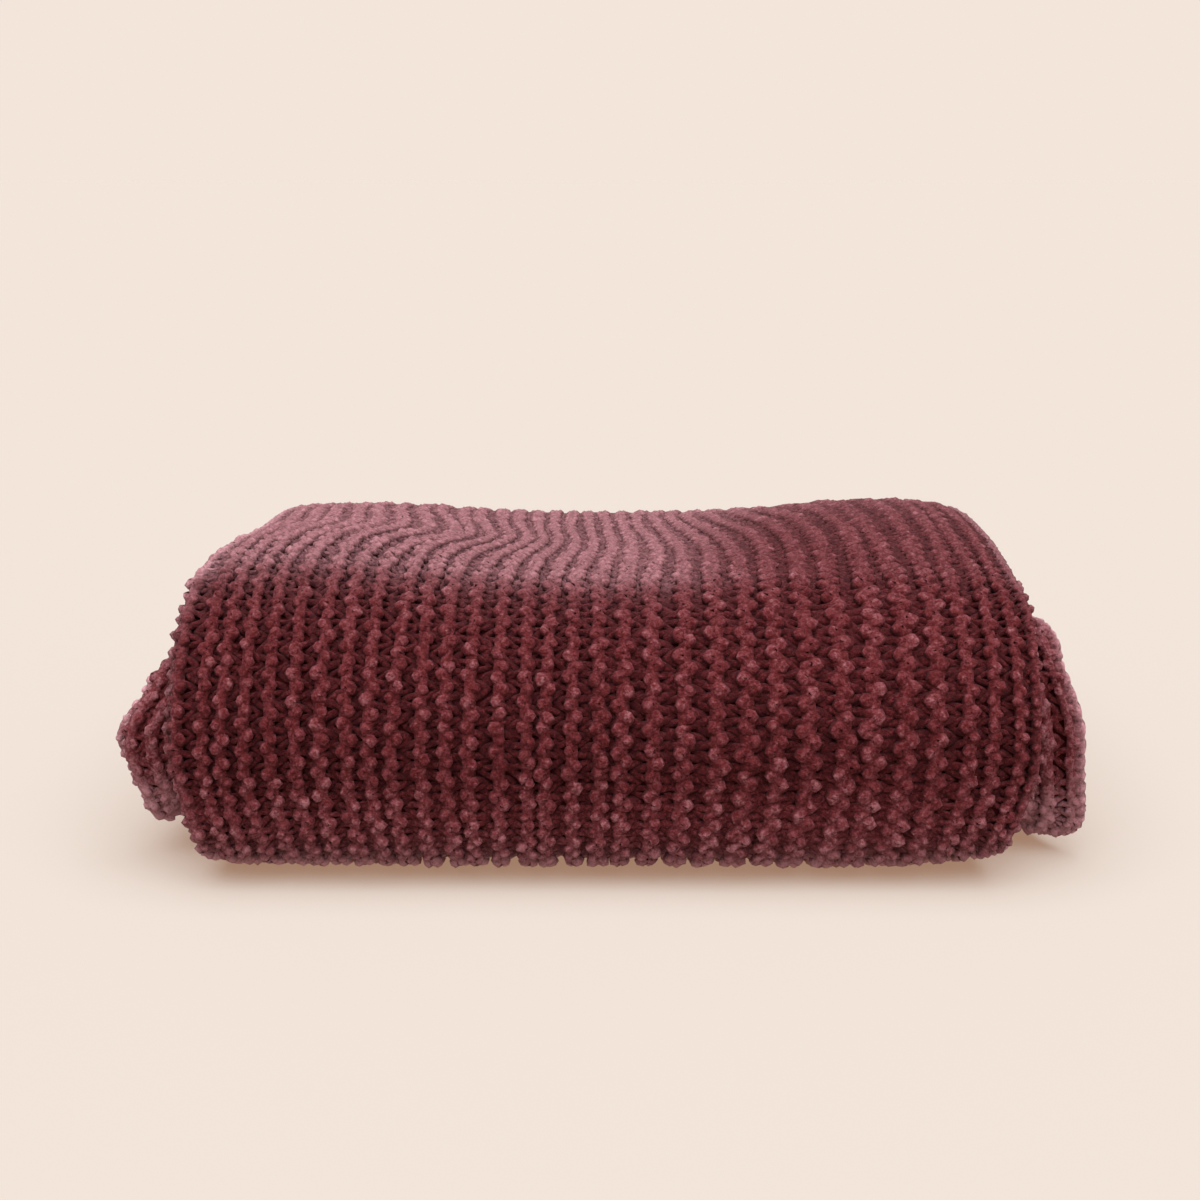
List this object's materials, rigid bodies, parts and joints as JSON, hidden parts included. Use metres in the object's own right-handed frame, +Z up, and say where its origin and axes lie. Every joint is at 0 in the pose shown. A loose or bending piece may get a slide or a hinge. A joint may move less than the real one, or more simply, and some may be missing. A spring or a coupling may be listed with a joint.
{
  "type": "throw blanket",
  "caption": "Chunky chenille throw blanket in ribbed garter stitch, folded into a plump bundle with a large round fold in front.",
  "frame": {"origin": "on the floor, under the middle of the folded bundle's bounding box", "axes": "+X along the folds, towards the bundle's right end as seen from the front; -Y towards the front, where the large round fold is; +Z up, across the layers"},
  "size_m": [0.512, 0.4138, 0.1626],
  "materials": {
    "yarn": "soft velvety chenille pile, burgundy"
  },
  "bodies": {
    "root": {"throw_blanket": "yarn"}
  },
  "joints": []
}
